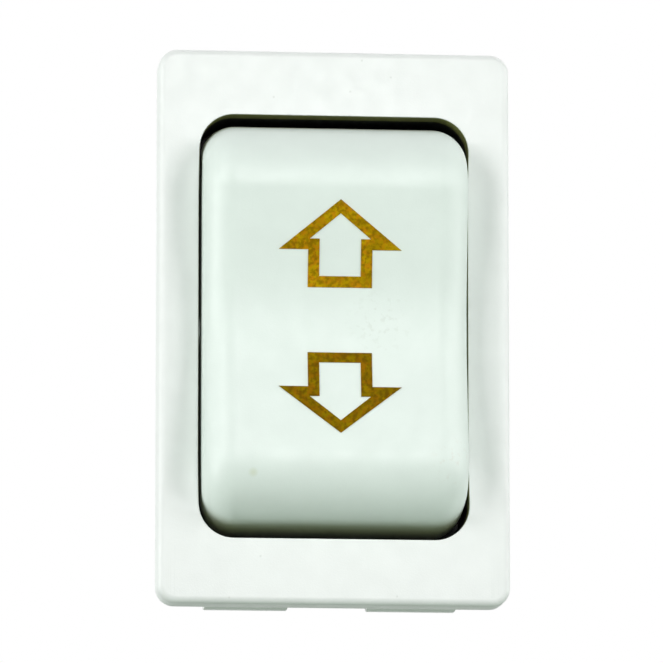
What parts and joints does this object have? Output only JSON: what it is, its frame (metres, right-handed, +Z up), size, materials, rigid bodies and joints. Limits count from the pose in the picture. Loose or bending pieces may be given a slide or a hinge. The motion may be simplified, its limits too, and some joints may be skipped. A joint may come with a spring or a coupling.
{
  "type": "rv slide-out switch",
  "caption": "Snap-in momentary rocker switch with a white bezel, a saddle-shaped rocker marked with up and down arrows, a black base and push-on tabs.",
  "frame": {"origin": "middle of the panel cut-out, on the back face of the bezel, which lies on the panel", "axes": "+Z up, towards the up arrow; +Y back through the panel, along the tabs; +X to the right as seen from the front"},
  "size_m": [0.0254, 0.0332, 0.0402],
  "materials": {
    "bezel_white": "fine matt moulded nylon",
    "rocker_white": "satin moulded nylon",
    "stamped_gold": "grainy stamped gold foil",
    "base_black": "matt moulded",
    "plunger_nylon": "smooth moulded",
    "spring_steel": "drawn wire",
    "blade_copper": "rolled sheet",
    "tab_brass": "stamped sheet",
    "contact_silver": "satin"
  },
  "bodies": {
    "housing": {"bezel_frame": "bezel_white", "left_common_terminal": "tab_brass", "left_lower_fixed_contact": "contact_silver", "left_lower_terminal": "tab_brass", "left_upper_fixed_contact": "contact_silver", "left_upper_terminal": "tab_brass", "right_common_terminal": "tab_brass", "right_lower_fixed_contact": "contact_silver", "right_lower_terminal": "tab_brass", "right_upper_fixed_contact": "contact_silver", "right_upper_terminal": "tab_brass", "switch_base": "base_black"},
    "rocker": {"rocker": "rocker_white", "arrow_up_mark": "stamped_gold", "arrow_down_mark": "stamped_gold", "left_spring": "spring_steel", "right_spring": "spring_steel"},
    "left_plunger": {"left_plunger": "plunger_nylon"},
    "left_see_saw": {"left_contact_blade": "blade_copper", "left_lower_moving_contact": "contact_silver", "left_upper_moving_contact": "contact_silver"},
    "right_plunger": {"right_plunger": "plunger_nylon"},
    "right_see_saw": {"right_contact_blade": "blade_copper", "right_lower_moving_contact": "contact_silver", "right_upper_moving_contact": "contact_silver"}
  },
  "joints": [
    {"name": "rocker_tilt", "type": "hinge", "parent": "housing", "child": "rocker", "pos_m": [0, 0.0015, 0], "axis": [-1, 0, 0], "range_deg": [-9, 9], "stiffness_Nm_per_rad": 0.15},
    {"name": "left_plunger_press", "type": "slide", "parent": "rocker", "child": "left_plunger", "axis": [0, -1, 0], "range_m": [0, 0.0006], "stiffness_N_per_m": 400, "deforming": ["left_spring"]},
    {"name": "left_contact_tilt", "type": "hinge", "parent": "housing", "child": "left_see_saw", "pos_m": [-0.00517, 0.01418, 0], "axis": [-1, 0, 0], "range_deg": [-5.5, 5.5]},
    {"name": "right_plunger_press", "type": "slide", "parent": "rocker", "child": "right_plunger", "axis": [0, -1, 0], "range_m": [0, 0.0006], "stiffness_N_per_m": 400, "deforming": ["right_spring"]},
    {"name": "right_contact_tilt", "type": "hinge", "parent": "housing", "child": "right_see_saw", "pos_m": [0.00517, 0.01418, 0], "axis": [-1, 0, 0], "range_deg": [-5.5, 5.5]}
  ],
  "couplings": [
    {"joint": "left_contact_tilt", "follows": "rocker_tilt", "ratio": -0.6},
    {"joint": "right_contact_tilt", "follows": "rocker_tilt", "ratio": -0.6}
  ]
}
